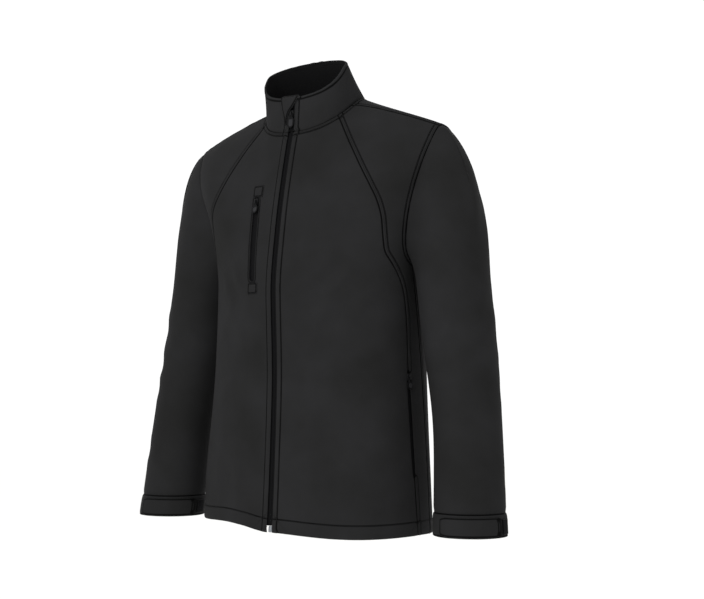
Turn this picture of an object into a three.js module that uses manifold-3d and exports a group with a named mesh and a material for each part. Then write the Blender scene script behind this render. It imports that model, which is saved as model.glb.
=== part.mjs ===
// A zipped softshell jacket, filled out as it is worn and empty inside.
// Millimetres, +Z up. The front faces -Y and the wearer's left is +X. The origin lies between the
// shoulders, level with the side of the neck, where the wearer carries the jacket.
import * as THREE from 'three';
import { mergeVertices } from 'three/addons/utils/BufferGeometryUtils.js';
import Module from 'manifold-3d';

const wasm = await Module();
wasm.setup();

// Driving sizes of the cloth
const CLOTH = 2; // bonded softshell, one layer with its turned edges
const COLLAR_CLOTH = 3; // two layers at the collar
const SEAM_GAP = 0.3; // between two sewn pieces
const ROLL = 0.7; // how far the cloth dips at a seam
const ROLL_WIDTH = 3; // how wide that dip is
const LAY_GAP = 0.3; // between a panel and what lies on it or behind it
const HEM_FOLD = 1.2; // what the turned-up hem adds on the inside

// Driving sizes of the zips
const ZIP_EDGE = 5.2; // from the middle of the front to each panel's edge
const ZIP_FOLD = { rise: 0.9, shoulder: 2, stitch: 8.8, end: 10.6 }; // folded band beside the zip
const TAPE = { gap: 0.25, ridge: 2.9, width: 13.5, top: -CLOTH - LAY_GAP, thick: 0.8 };
const COIL = { half: 2.4, top: -CLOTH - LAY_GAP - 0.8 - LAY_GAP, thick: 1.3 };
const ZIP_TOP = -0.7; // where the tapes end on the collar, as a row
const ZIP_FOOT = 13.5; // where the tapes end above the hem, as a row
const ZIP_BOX = { half: 3.1, high: 9.8, thick: 3.2, level: -692 };

// Tables with one row for each section. columns() names their columns.
function columns(names, rows) {
  return rows.map((row) => Object.fromEntries(names.map((name, i) => [name, row[i]])));
}

const RING = [
  'row', 'half', 'front', 'back', 'middle', 'zFront', 'zSide', 'zBack', 'squareFront', 'squareBack', 'climb',
];
const BODY_RINGS = columns(RING, [
  [0, 86, 74, 54, 0, -55.5, 3, 2, 2.4, 2.3, 1.1], // neck seam
  [1, 112, 82, 90, 0, -84, -7, -26, 1.62, 2.1, 1.6],
  [2, 160, 92, 110, 0, -128, -24.5, -66, 1.56, 2.1, 2],
  [3, 212, 101, 121, 0, -170, -43, -108, 1.52, 2.2, 2],
  [4, 243, 107, 127, 0, -205, -57, -145, 1.5, 2.2, 2], // shoulder tip
  [5, 256, 112, 130, 0, -240, -100, -185, 1.62, 2.1, 2],
  [6, 220, 116, 131, 0, -268, -165, -225, 1.8, 2.2, 2],
  [7, 200, 118.5, 131, 0, -292, -225, -262, 1.92, 2.3, 2],
  [8, 189, 119.5, 130, 0, -318, -268, -298, 2.05, 2.3, 2], // underarm
  [9, 187, 117.5, 127, 0, -370, -345, -358, 2.2, 2.3, 2],
  [10, 190, 115, 124, 0, -440, -427, -432, 2.3, 2.3, 2],
  [11, 195, 117, 121, 0, -520, -511, -515, 2.3, 2.25, 2],
  [12, 200, 121, 121, 0, -600, -592, -596, 2.25, 2.2, 2],
  [13, 203, 125, 123, 0, -666, -656, -662, 2.2, 2.2, 2],
  [14, 204, 127, 124, 0, -692, -680, -688, 2.2, 2.2, 2], // hem
]);
const COLLAR_RINGS = columns(RING, [
  [-1, 79, 36, 31, -34, 1.5, 51, 72, 2.5, 2.15, 1], // top edge
  [-0.5, 81, 54, 41, -18, -27, 27, 38, 2.45, 2.25, 1.05],
  [0, 86, 74, 54, 0, -55.5, 3, 2, 2.4, 2.3, 1.1], // neck seam
]);

// The seam lines on the body, as angles in degrees: -90 is the middle of the front, 0 the side
const PRINCESS_SEAM = columns(['row', 'angle'], [
  [0, -36.4], [0.5, -37.8], [1, -39.9], [1.5, -43.6], [2, -46.6], [2.5, -48.7], [3, -49.9], [3.5, -50.7],
  [4, -50.5], [4.5, -49.4], [5, -47.2], [5.5, -42.4], [6, -36.6], [6.5, -33.6], [7, -30.8], [7.5, -28.2],
  [8, -21.8], [8.5, -12.2], [9, -9.2], [10, -9.8], [11, -9.5], [12, -8.8], [13, -7.5], [14, -6.8],
]);
const SHOULDER_SEAM = columns(['row', 'angle'], [[0, -14], [2, -8], [4, -3]]);
const SIDE_SEAM = columns(['row', 'angle'], [[8.06, 0], [9, 6], [10, 10], [12, 12], [14, 12]]);
const ARMHOLE = { middle: 6.03, high: 2.03, back: 26, top: -3, skew: 0.07, steps: 10 };
// The armhole's front edge by turn round the armhole, from its top to its foot
const ARMHOLE_FRONT = columns(['turn', 'angle'], [
  [0, -3], [18, -6.8], [36, -12.5], [54, -19.8], [72, -21.7], [90, -18.9], [108, -16.9], [126, -14.4],
  [144, -11.4], [162, -7], [180, 0],
]);

// Rows of points down the body: each has a place on the princess seam, and below and above the
// armhole the same place on the seam behind it
const YOKE_ROWS = [0, 0.11, 1, 2, 3.1];
const CHEST_WINDOW = { top: 3.1, foot: 7.46, xTop: 53.5, xFoot: 47, half: 6.5 };
const SIDE_WINDOW = { top: 10.15, foot: 12.18, half: 4.4, taper: 0.06 };
const LOWER_ROWS = [
  8.5, 9.1, 9.65, SIDE_WINDOW.top - SIDE_WINDOW.taper, SIDE_WINDOW.top + SIDE_WINDOW.taper, 10.8, 11.5,
  SIDE_WINDOW.foot - SIDE_WINDOW.taper, SIDE_WINDOW.foot + SIDE_WINDOW.taper, 12.7, 13.2, 13.5, 13.87, 14,
];

// Sections down the sleeve: centre, half width across and half depth
const SLEEVE_RINGS = columns(['row', 'z', 'x', 'half', 'y', 'depth'], [
  [1, -300, 251.5, 57.5, 12, 62],
  [2, -400, 266.5, 58, 6.5, 59],
  [3, -520, 286.5, 53.5, -5.5, 52],
  [4, -652.7, 296.5, 56.5, -18, 55],
]);
// How the cap's cloth leaves the armhole and fills out behind the arm
const CAP = {
  out: 0.7, leave: 0.82, arrive: 0.55, flat: 0.3, full: 9, fullAt: -35, ease: [-48, -32, -16, 0, 16, 32, 48],
};
const SLEEVE_CAP_STEPS = [0.03, 0.16, 0.32, 0.5, 0.68, 0.84];
const SLEEVE_ROWS = [1, 1.5, 2, 2.5, 3, 3.5, 4];
const CUFF = { high: 34, proud: 0.8, thick: 2.4, roll: 4 };
const CUFF_TAB = { from: 112, to: 6, high: 29, thick: 1.8, steps: 10 };
const CUFF_LOOP = { from: 3, to: -14, high: 22, thick: 1.2, steps: 2 };

// The small hard pieces of each zip
const SLIDER = { wide: 8.2, high: 11, low: -2, top: 1.2, crown: 2.4, arch: 4.4, leg: 3.6, bore: 1.12 };
const PULL = { bar: 1.1, thick: 1.6, neck: 6.4, slot: 3.3, reach: 4.6, web: 0.8, frame: 2.3 };
const FRONT_PULL = { wide: 12.6, long: 24 };
const POCKET_PULL = { wide: 13, long: 20 };

const rad = THREE.MathUtils.degToRad;
const lerp = THREE.MathUtils.lerp;

// A table's value at any place along its first column, on a smooth curve through all of its rows
function between(table, column, at) {
  const key = Object.keys(table[0])[0];
  const last = table.length - 1;
  let i = 0;
  while (i < last - 1 && at > table[i + 1][key]) i += 1;
  const slope = (k) => {
    const before = table[Math.max(k - 1, 0)];
    const after = table[Math.min(k + 1, last)];
    return (after[column] - before[column]) / (after[key] - before[key]);
  };
  const [start, end] = [table[i], table[i + 1]];
  const span = end[key] - start[key];
  const t = (at - start[key]) / span;
  if (t < 0) return start[column] + slope(i) * t * span;
  if (t > 1) return end[column] + slope(i + 1) * (t - 1) * span;
  const [t2, t3] = [t * t, t * t * t];
  return start[column] * (2 * t3 - 3 * t2 + 1) + slope(i) * span * (t3 - 2 * t2 + t)
    + end[column] * (3 * t2 - 2 * t3) + slope(i + 1) * span * (t3 - t2);
}

// A point of the rings: an angle round the body and a row down it
function ringPoint(rings, angle, row) {
  const value = (column) => between(rings, column, row);
  const [c, s] = [Math.cos(rad(angle)), Math.sin(rad(angle))];
  const square = value(s < 0 ? 'squareFront' : 'squareBack');
  const reach = (Math.abs(c) ** square + Math.abs(s) ** square) ** (-1 / square);
  const depth = s < 0 ? value('front') : value('back');
  const end = s < 0 ? value('zFront') : value('zBack');
  const rise = (end - value('zSide')) * Math.abs(s * reach) ** value('climb');
  return new THREE.Vector3(value('half') * c * reach, value('middle') + depth * s * reach,
    value('zSide') + rise);
}
const body = (angle, row) => ringPoint(BODY_RINGS, angle, row);
const collar = (angle, row) => ringPoint(COLLAR_RINGS, angle, row);

// The tangents round and down a surface at a place, and its outward normal
function surfaceFrame(surface, [angle, row]) {
  const [turn, step] = [0.3, 0.01];
  const point = surface(angle, row);
  const round = surface(angle + turn, row).sub(surface(angle - turn, row)).divideScalar(2 * turn);
  const down = surface(angle, row + step).sub(surface(angle, row - step)).divideScalar(2 * step);
  const normal = down.clone().cross(round).normalize();
  return { point, round, down, normal };
}

// A point of a surface moved out along its normal, or in where out is negative
function lift(surface, place, out) {
  const { point, normal } = surfaceFrame(surface, place);
  return point.addScaledVector(normal, out);
}

// The place that lies a distance in mm to one side of a line that runs along a direction:
// side 1 is towards greater angles for a line that runs down
function beside(surface, place, direction, distance) {
  const { round, down, normal } = surfaceFrame(surface, place);
  const sideways = normal.clone().cross(direction).normalize().multiplyScalar(distance);
  const [a, b, c] = [round.dot(round), round.dot(down), down.dot(down)];
  const [p, q] = [sideways.dot(round), sideways.dot(down)];
  const det = a * c - b * b;
  return [place[0] + (p * c - q * b) / det, place[1] + (q * a - p * b) / det];
}

// The angle at which a surface's front has a given x
function angleAtX(surface, x, row) {
  let [low, high] = [-90, 0];
  for (let i = 0; i < 40; i += 1) {
    const middle = (low + high) / 2;
    if (surface(middle, row).x < x) low = middle;
    else high = middle;
  }
  return (low + high) / 2;
}

// A closed wall from the corners of its cells. Each corner has an outer and an inner point. A cell
// lists its corners anticlockwise as seen from outside, and open edges get a rim.
function wall(corners, cells) {
  const positions = corners.flatMap(({ outer, inner }) => [...outer.toArray(), ...inner.toArray()]);
  const faces = [];
  const edges = new Set(cells.flatMap((cell) => cell.map((a, i) => `${a}>${cell[(i + 1) % 4]}`)));
  for (const [a, b, c, d] of cells) {
    const across = (p, q) => corners[p].outer.distanceTo(corners[q].outer);
    const halves = across(a, c) <= across(b, d) ? [[a, b, c], [a, c, d]] : [[a, b, d], [b, c, d]];
    for (const [p, q, r] of halves) {
      faces.push(2 * p, 2 * q, 2 * r, 2 * p + 1, 2 * r + 1, 2 * q + 1);
    }
    for (const [p, q] of [[a, b], [b, c], [c, d], [d, a]]) {
      if (edges.has(`${q}>${p}`)) continue;
      faces.push(2 * q, 2 * p, 2 * p + 1, 2 * q, 2 * p + 1, 2 * q + 1);
    }
  }
  const used = [...new Set(faces)].sort((p, q) => p - q);
  const place = new Map(used.map((index, i) => [index, i]));
  const geometry = new THREE.BufferGeometry();
  const kept = used.flatMap((index) => positions.slice(3 * index, 3 * index + 3));
  geometry.setAttribute('position', new THREE.Float32BufferAttribute(kept, 3));
  geometry.setIndex(faces.map((index) => place.get(index)));
  geometry.computeVertexNormals();
  return geometry;
}

// A wall from a grid of corners: grid[j][i] runs down by j and round by i. Closed grids join up
// round, and hole(i, j) leaves a cell out.
function gridWall(grid, { closed = false, hole = () => false } = {}) {
  const wide = grid[0].length;
  const cells = [];
  for (let j = 0; j < grid.length - 1; j += 1) {
    for (let i = 0; i < (closed ? wide : wide - 1); i += 1) {
      if (hole(i, j)) continue;
      const right = (i + 1) % wide;
      cells.push([j * wide + i, (j + 1) * wide + i, (j + 1) * wide + right, j * wide + right]);
    }
  }
  return wall(grid.flat(), cells);
}

// The other side's copy of a piece
function mirrored(geometry) {
  const copy = geometry.clone().scale(-1, 1, 1);
  const index = copy.index.array;
  for (let i = 0; i < index.length; i += 3) [index[i + 1], index[i + 2]] = [index[i + 2], index[i + 1]];
  copy.computeVertexNormals();
  return copy;
}

// The armhole: a loop round the shoulder, from its top forward and down, as an angle and a row
function armholePlace(turn) {
  const [c, s] = [Math.cos(rad(turn)), Math.sin(rad(turn))];
  const angle = s >= 0
    ? between(ARMHOLE_FRONT, 'angle', Math.acos(c) * 180 / Math.PI)
    : ARMHOLE.top * (1 + c) / 2 - ARMHOLE.back * s * (1 + ARMHOLE.skew * c);
  return [angle, ARMHOLE.middle - ARMHOLE.high * c];
}

// Every row of the body, as the places where it meets the princess seam and the seam behind it.
// facing 1 gives the armhole's front edge and -1 its back edge.
function bodyRows(facing) {
  const turnStep = 180 / ARMHOLE.steps;
  const rows = YOKE_ROWS.map((row) => ({ row, edge: [between(SHOULDER_SEAM, 'angle', row), row] }));
  const tip = armholePlace(0);
  const foot = armholePlace(180);
  for (let k = 0; k <= ARMHOLE.steps; k += 1) {
    // the chest window's foot is one of these rows on the front
    const atWindow = ARMHOLE.steps - 2;
    const row = k <= atWindow
      ? lerp(tip[1], CHEST_WINDOW.foot, k / atWindow)
      : lerp(CHEST_WINDOW.foot, foot[1], (k - atWindow) / (ARMHOLE.steps - atWindow));
    rows.push({ row, edge: armholePlace(facing * k * turnStep), arm: k });
  }
  for (const row of LOWER_ROWS) rows.push({ row, edge: [between(SIDE_SEAM, 'angle', row), row] });
  return rows;
}
const FRONT_ROWS = bodyRows(1);
const BACK_ROWS = bodyRows(-1);
const HEM_STITCH_ROW = 13.2;

// The direction in which a line of places runs at one of them
function direction(surface, line, i) {
  const before = surface(...line[Math.max(i - 1, 0)]);
  const after = surface(...line[Math.min(i + 1, line.length - 1)]);
  return after.sub(before).normalize();
}

// A line of places moved sideways by a distance in mm, which may differ from row to row
function movedLine(surface, line, distance) {
  return line.map((place, i) => beside(surface, place, direction(surface, line, i),
    typeof distance === 'function' ? distance(i) : distance));
}

// How far the outer points of a body panel stand from the surface at a row, and the wall there
function edgeDip(row) {
  if (row === 0 || row === 14) return -ROLL;
  return 0;
}
function panelCorner(place, out, row, folded = true) {
  const rise = Math.min(out, out + edgeDip(row));
  const fold = folded && row >= HEM_STITCH_ROW ? HEM_FOLD : 0;
  return { outer: lift(body, place, rise), inner: lift(body, place, -CLOTH - fold) };
}

// The pocket opening in the princess seam: how far each panel's edge is drawn back
function princessGap(row) {
  const open = row >= SIDE_WINDOW.top && row <= SIDE_WINDOW.foot;
  return open ? SIDE_WINDOW.half : SEAM_GAP / 2;
}
const princessLine = FRONT_ROWS.map(({ row }) => [between(PRINCESS_SEAM, 'angle', row), row]);

// Front panel, from the zip to the princess seam. The wearer's right one has the chest window.
function windowX(row) {
  const t = (row - CHEST_WINDOW.top) / (CHEST_WINDOW.foot - CHEST_WINDOW.top);
  const middle = lerp(CHEST_WINDOW.xTop, CHEST_WINDOW.xFoot, THREE.MathUtils.clamp(t, 0, 1));
  return row < CHEST_WINDOW.top ? lerp(40, middle, row / CHEST_WINDOW.top) : middle;
}
const ZIP_COLUMNS = 3; // the columns beside the zip, where the hem isn't folded up
function frontPanel(withWindow) {
  const seam = movedLine(body, princessLine, (i) => princessGap(FRONT_ROWS[i].row) * -1);
  const dip = movedLine(body, princessLine, (i) => -princessGap(FRONT_ROWS[i].row) - ROLL_WIDTH);
  const wide = 5; // columns between the window's line and the seam
  const grid = FRONT_ROWS.map(({ row }, j) => {
    const at = (x, out = 0) => ({ place: [angleAtX(body, x, row), row], out });
    const inner = windowX(row) - CHEST_WINDOW.half;
    const outer = windowX(row) + CHEST_WINDOW.half;
    const line = [
      at(ZIP_EDGE, 0.1), at(ZIP_EDGE + ZIP_FOLD.shoulder, ZIP_FOLD.rise),
      at(ZIP_EDGE + ZIP_FOLD.stitch, ZIP_FOLD.rise * 0.8), at(ZIP_EDGE + ZIP_FOLD.end),
      at((ZIP_EDGE + ZIP_FOLD.end + inner) / 2), at(inner), at(outer),
    ];
    const from = line[line.length - 1].place;
    for (let i = 1; i < wide; i += 1) {
      const t = i / wide;
      line.push({ place: [lerp(from[0], dip[j][0], t), lerp(from[1], dip[j][1], t)], out: 0 });
    }
    line.push({ place: dip[j], out: 0 }, { place: seam[j], out: -ROLL });
    return line.map(({ place, out }, i) => panelCorner(place, out, row, i > ZIP_COLUMNS));
  });
  const windowColumn = 5;
  const hole = (i, j) => withWindow && i === windowColumn && FRONT_ROWS[j].row >= CHEST_WINDOW.top - 1e-6
    && FRONT_ROWS[j + 1].row <= CHEST_WINDOW.foot + 1e-6;
  return gridWall(grid, { hole });
}

// Side panel: yoke, front of the armhole and the strip under the arm, in one piece of cloth
function sidePanel() {
  const nearGap = (i) => princessGap(FRONT_ROWS[i].row);
  const near = movedLine(body, princessLine, nearGap);
  const nearDip = movedLine(body, princessLine, (i) => nearGap(i) + ROLL_WIDTH);
  const edge = FRONT_ROWS.map((entry) => entry.edge);
  const isArm = (i) => FRONT_ROWS[i].arm !== undefined && FRONT_ROWS[i].arm > 0
    && FRONT_ROWS[i].arm < ARMHOLE.steps;
  const far = movedLine(body, edge, (i) => (isArm(i) ? 0 : -SEAM_GAP / 2));
  const farDip = movedLine(body, edge, -ROLL_WIDTH);
  const wide = 5;
  const grid = FRONT_ROWS.map(({ row }, j) => {
    const line = [panelCorner(near[j], -ROLL, row)];
    for (let i = 0; i <= wide; i += 1) {
      const t = i / wide;
      const place = [lerp(nearDip[j][0], farDip[j][0], t), lerp(nearDip[j][1], farDip[j][1], t)];
      line.push(panelCorner(place, 0, row));
    }
    line.push(panelCorner(far[j], -ROLL, row));
    return line;
  });
  return gridWall(grid);
}

// Back: one panel from armhole to armhole, up over the shoulders to the shoulder seams
function backPanel() {
  const edge = BACK_ROWS.map((entry) => entry.edge);
  const isArm = (i) => BACK_ROWS[i].arm !== undefined && BACK_ROWS[i].arm > 0
    && BACK_ROWS[i].arm < ARMHOLE.steps;
  const near = movedLine(body, edge, (i) => (isArm(i) ? 0 : SEAM_GAP / 2));
  const nearDip = movedLine(body, edge, ROLL_WIDTH);
  const wide = 15;
  const grid = BACK_ROWS.map(({ row }, j) => {
    const across = (place) => [180 - place[0], place[1]];
    const line = [panelCorner(near[j], -ROLL, row)];
    for (let i = 0; i <= wide; i += 1) {
      const t = i / wide;
      const bend = (2 * t - 1) ** 2; // rows are level in the middle and follow the armhole at each side
      const place = [lerp(nearDip[j][0], across(nearDip[j])[0], t), lerp(row, nearDip[j][1], bend)];
      line.push(panelCorner(place, 0, row));
    }
    line.push(panelCorner(across(near[j]), -ROLL, row));
    return line;
  });
  return gridWall(grid);
}

// A section of the sleeve below the arm: turn 0 is its outer side, 90 its front, 180 its inner side
function sleeveSection(turn, row, spread = 0) {
  const value = (column) => between(SLEEVE_RINGS, column, row);
  return new THREE.Vector3(value('x') + (value('half') + spread) * Math.cos(rad(turn)),
    value('y') - (value('depth') + spread) * Math.sin(rad(turn)), value('z'));
}

// The line that the sleeve's cloth follows from the armhole down to its first full section
function sleeveCap(turn, t) {
  const line = [-1, 0, 1].map((k) => body(...armholePlace(turn + 4 * k)));
  const along = line[2].clone().sub(line[0]).normalize();
  // the cap's own slant eases out what the body's surface turns within the seam's width
  const normal = CAP.ease.reduce((sum, k) => sum.add(surfaceFrame(body, armholePlace(turn + k)).normal),
    new THREE.Vector3()).normalize();
  const into = along.clone().cross(normal).multiplyScalar(-1);
  const start = line[1].addScaledVector(into, SEAM_GAP);
  const end = sleeveSection(turn, 1);
  const lower = (1 - Math.cos(rad(turn))) / 2;
  const leaving = normal.clone().multiplyScalar(lerp(CAP.out, 1, lower))
    .addScaledVector(into, 1 - lower).addScaledVector(new THREE.Vector3(0, 0, -1), 0.8 * lower).normalize();
  const arriving = sleeveSection(turn, 1.05).sub(sleeveSection(turn, 1)).normalize();
  const length = start.distanceTo(end);
  const leave = CAP.leave * (1 - CAP.flat * Math.sin(rad(turn)) ** 2);
  const outward = new THREE.Vector3(Math.cos(rad(turn)), -Math.sin(rad(turn)), 0);
  const full = CAP.full * 16 * (t - t * t) ** 2 * Math.max(0, Math.cos(rad(turn - CAP.fullAt))) ** 2;
  const [t2, t3] = [t * t, t * t * t];
  return start.multiplyScalar(2 * t3 - 3 * t2 + 1)
    .addScaledVector(leaving, leave * length * (t3 - 2 * t2 + t))
    .addScaledVector(end, 3 * t2 - 2 * t3)
    .addScaledVector(arriving, CAP.arrive * length * (t3 - t2))
    .addScaledVector(outward, full);
}
// The whole sleeve as one surface: rows 0 to 1 are the cap and the rest its sections
function sleeveSurface(turn, row) {
  return row < 1 ? sleeveCap(turn, Math.max(row, 0)) : sleeveSection(turn, row);
}

function sleeveFrame(turn, row) {
  const point = sleeveSurface(turn, row);
  const round = sleeveSurface(turn + 2, row).sub(sleeveSurface(turn - 2, row));
  const down = sleeveSurface(turn, row + 0.02).sub(sleeveSurface(turn, Math.max(row - 0.02, 0)));
  const normal = round.cross(down).normalize();
  return { point, normal };
}
const SLEEVE_TURNS = Array.from({ length: 2 * ARMHOLE.steps }, (_, i) => -i * 180 / ARMHOLE.steps);

function sleeve() {
  const rows = [0, ...SLEEVE_CAP_STEPS, ...SLEEVE_ROWS];
  const grid = rows.map((row) => SLEEVE_TURNS.map((turn) => {
    const { point, normal } = sleeveFrame(turn, row);
    const seam = row === 0 || row === SLEEVE_ROWS[SLEEVE_ROWS.length - 1];
    return {
      outer: point.clone().addScaledVector(normal, seam ? -ROLL : 0),
      inner: point.clone().addScaledVector(normal, -CLOTH),
    };
  }));
  return gridWall(grid, { closed: true });
}

// The cuff band below the sleeve: its outer points at a height, and its wall
const SLEEVE_END = SLEEVE_RINGS[SLEEVE_RINGS.length - 1];
const LAST_ROW_HIGH = SLEEVE_RINGS[SLEEVE_RINGS.length - 2].z - SLEEVE_END.z;
function cuffPoint(turn, drop, out) {
  const bulge = CUFF.proud * THREE.MathUtils.clamp(drop / CUFF.roll, 0, 1);
  return sleeveSection(turn, SLEEVE_END.row + (drop + SEAM_GAP) / LAST_ROW_HIGH, bulge + out);
}
function cuff() {
  const drops = [[0, -ROLL], [CUFF.roll, 0], [CUFF.high - CUFF.roll, 0], [CUFF.high, -ROLL]];
  const grid = drops.map(([drop, out]) => SLEEVE_TURNS.map((turn) => ({
    outer: cuffPoint(turn, drop, out), inner: cuffPoint(turn, drop, -CUFF.thick),
  })));
  return gridWall(grid, { closed: true });
}

// A strap or patch that lies on the cuff, from one turn to another
function onCuff({ from, to, high, thick, steps }) {
  const middle = (CUFF.high + CUFF.roll) / 2 - 1;
  const rows = [-0.5, -0.42, 0, 0.42, 0.5];
  const grid = rows.map((part) => Array.from({ length: steps + 1 }, (_, i) => {
    const turn = lerp(from, to, i / steps);
    const nearEnd = i === 0 || i === steps;
    const drop = middle + part * high * (nearEnd && steps > 2 ? 0.82 : 1);
    const edge = Math.abs(part) === 0.5 || nearEnd ? 0.5 : 1;
    return {
      outer: cuffPoint(turn, drop, LAY_GAP + thick * edge), inner: cuffPoint(turn, drop, LAY_GAP),
    };
  }));
  return gridWall(grid);
}

// Collar: one band round the neck, from one side of the zip to the other. Its columns follow those
// of the panels below it, so that both edges of the neck seam run along the same line.
const ZIP_EDGES = [0, ZIP_FOLD.shoulder, ZIP_FOLD.stitch, ZIP_FOLD.end].map((x) => ZIP_EDGE + x);
function neckAngles() {
  const [princess, shoulder] = [princessLine[0][0], FRONT_ROWS[0].edge[0]];
  const at = (x) => angleAtX(body, x, 0);
  const inner = windowX(0) - CHEST_WINDOW.half;
  const outer = windowX(0) + CHEST_WINDOW.half;
  const beyond = [at((ZIP_EDGES[3] + inner) / 2), at(inner), at(outer)];
  const spread = (from, to, steps) => rowsBetween(from, to, steps).slice(1);
  const dip = ROLL_WIDTH / THREE.MathUtils.degToRad(body(princess, 0).setZ(0).length());
  return [
    ...beyond, ...spread(beyond[2], princess - dip, 5), princess,
    ...spread(princess, shoulder - dip, 6), shoulder, ...spread(shoulder, 90, 9),
  ];
}
function rowsBetween(from, to, steps) {
  return Array.from({ length: steps + 1 }, (_, i) => lerp(from, to, i / steps));
}
function collarBand() {
  const rows = [-1, -0.965, -0.88, -0.5, -0.05, -0.006];
  const round = neckAngles();
  const grid = rows.map((row, j) => {
    const half = [...ZIP_EDGES.map((x) => angleAtX(collar, x, row)), ...round];
    const angles = [...half, ...half.slice(0, -1).map((angle) => 180 - angle).reverse()];
    return angles.map((angle, i) => {
      const fromZip = Math.min(i, angles.length - 1 - i);
      const fold = [0.1, ZIP_FOLD.rise, ZIP_FOLD.rise * 0.8][fromZip] ?? 0;
      const rolled = j === 0 || j === rows.length - 1 ? -ROLL : 0;
      const thick = fromZip < ZIP_EDGES.length ? CLOTH : COLLAR_CLOTH;
      return {
        outer: lift(collar, [angle, row], Math.min(fold, 0.6) + rolled * (j === 0 ? 1.4 : 1)),
        inner: lift(collar, [angle, row], -thick),
      };
    });
  });
  return gridWall(grid);
}

// Chin guard: a tapered flap that folds over the top of the collar and houses the slider
const GUARD = { thick: 1.5, inside: 15, over: 3.6, high: 46, behind: 0.9, left: -23.5, right: 12 };
const GUARD_ROWS = columns(['drop', 'left', 'right', 'dome'], [
  [0.6, -23.5, 12, 0.2],
  [6, -21.3, 9.6, 1.6],
  [12, -19.3, 6.4, 3.2],
  [18, -17.7, 2.4, 3.6],
  [22, -16.7, -2.4, 2.4],
  [27, -15.6, -5.2, 1.4],
  [33, -14.2, -7.6, 0.6],
  [GUARD.high, -11.6, -9.4, 0],
]);
function guardPoint(x, drop, out) {
  const row = -1 + drop / 57;
  const angle = x >= 0 ? angleAtX(collar, x, row) : -180 - angleAtX(collar, -x, row);
  return lift(collar, [angle, row], out);
}
function chinGuard() {
  const across = [0, 0.3, 0.55, 0.8, 1];
  const overPanel = LAY_GAP + ZIP_FOLD.rise;
  const grid = [];
  const shape = (left, right, make) => grid.push(across.map((t) => make(lerp(left, right, t), t)));
  // inside the collar, up to its edge
  const behind = -COLLAR_CLOTH - GUARD.behind;
  for (const drop of [GUARD.inside, 0.3]) {
    shape(GUARD.left, GUARD.right, (x) => ({
      outer: guardPoint(x, drop, behind - GUARD.thick), inner: guardPoint(x, drop, behind),
    }));
  }
  // over the edge
  shape(GUARD.left, GUARD.right, (x) => ({
    outer: guardPoint(x, 0, -COLLAR_CLOTH / 2).add(new THREE.Vector3(0, 0, GUARD.over)),
    inner: guardPoint(x, 0, -COLLAR_CLOTH / 2).add(new THREE.Vector3(0, 0, GUARD.over - GUARD.thick)),
  }));
  // down the front, with the dome over the slider
  for (const { drop, left, right, dome } of GUARD_ROWS) {
    shape(left, right, (x, t) => {
      const high = overPanel + dome * Math.sin(Math.PI * THREE.MathUtils.clamp((t + 0.35) / 1.6, 0, 1));
      return { outer: guardPoint(x, drop, high + GUARD.thick), inner: guardPoint(x, drop, high) };
    });
  }
  return gridWall(grid);
}

// A strip along a zip: its columns are x, how far its outer points stand out, and its thickness
function zipStrip(stations, xs) {
  const grid = stations.map(({ surface, row }) => xs.map(({ x, out, thick }) => {
    const angle = x >= 0 ? angleAtX(surface, x, row) : -180 - angleAtX(surface, -x, row);
    return { outer: lift(surface, [angle, row], out), inner: lift(surface, [angle, row], out - thick) };
  }));
  return gridWall(grid);
}
const ZIP_STATIONS = [
  ...[ZIP_TOP, -0.5, -0.05, -0.006].map((row) => ({ surface: collar, row })),
  ...FRONT_ROWS.filter(({ row }) => row <= ZIP_FOOT).map(({ row }) => ({ surface: body, row })),
];

// Half of the front zip's tape, from the middle to behind the panel
const frontTape = () => zipStrip(ZIP_STATIONS, [
  { x: TAPE.gap, out: TAPE.top + 0.15, thick: TAPE.thick + 0.15 },
  { x: TAPE.ridge, out: TAPE.top, thick: TAPE.thick },
  { x: TAPE.width, out: TAPE.top, thick: TAPE.thick },
]);
const frontCoil = () => zipStrip(ZIP_STATIONS, [
  { x: -COIL.half, out: COIL.top, thick: COIL.thick }, { x: COIL.half, out: COIL.top, thick: COIL.thick },
]);

// A zip's strip behind a pocket opening, along a line of places, with a slit down its middle
function pocketTape(line, half) {
  const offsets = [-half, -1.1, -0.3, 0.3, 1.1, half];
  const moved = offsets.map((offset) => movedLine(body, line, offset));
  const grid = line.map((_, j) => offsets.map((offset, i) => {
    // the slit and the strip's own edges lie a little deeper
    const low = Math.abs(offset) < 0.5 || Math.abs(offset) === half || j === 0 || j === line.length - 1;
    return {
      outer: lift(body, moved[i][j], TAPE.top - (low ? 0.45 : 0)),
      inner: lift(body, moved[i][j], TAPE.top - TAPE.thick - (Math.abs(offset) === half ? 0.3 : 0)),
    };
  }));
  return gridWall(grid);
}
const rowsFrom = (top, foot) => FRONT_ROWS.map(({ row }) => row).filter((row) => row > top && row < foot);
const chestRows = rowsFrom(CHEST_WINDOW.top - 0.01, CHEST_WINDOW.foot + 0.01);
const chestLine = [CHEST_WINDOW.top - 0.12, ...chestRows, CHEST_WINDOW.foot + 0.12]
  .map((row) => [angleAtX(body, windowX(row), row), row]);
const sideLine = rowsFrom(SIDE_WINDOW.top - 0.1, SIDE_WINDOW.foot + 0.1)
  .map((row) => [between(PRINCESS_SEAM, 'angle', row), row]);

// The place on the body's front at a given x and height
function placeAt(x, z) {
  let [low, high] = [0, 10];
  for (let i = 0; i < 30; i += 1) {
    const middle = (low + high) / 2;
    if (body(angleAtX(body, x, middle), middle).z > z) low = middle;
    else high = middle;
  }
  return [angleAtX(body, x, low), low];
}

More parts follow.
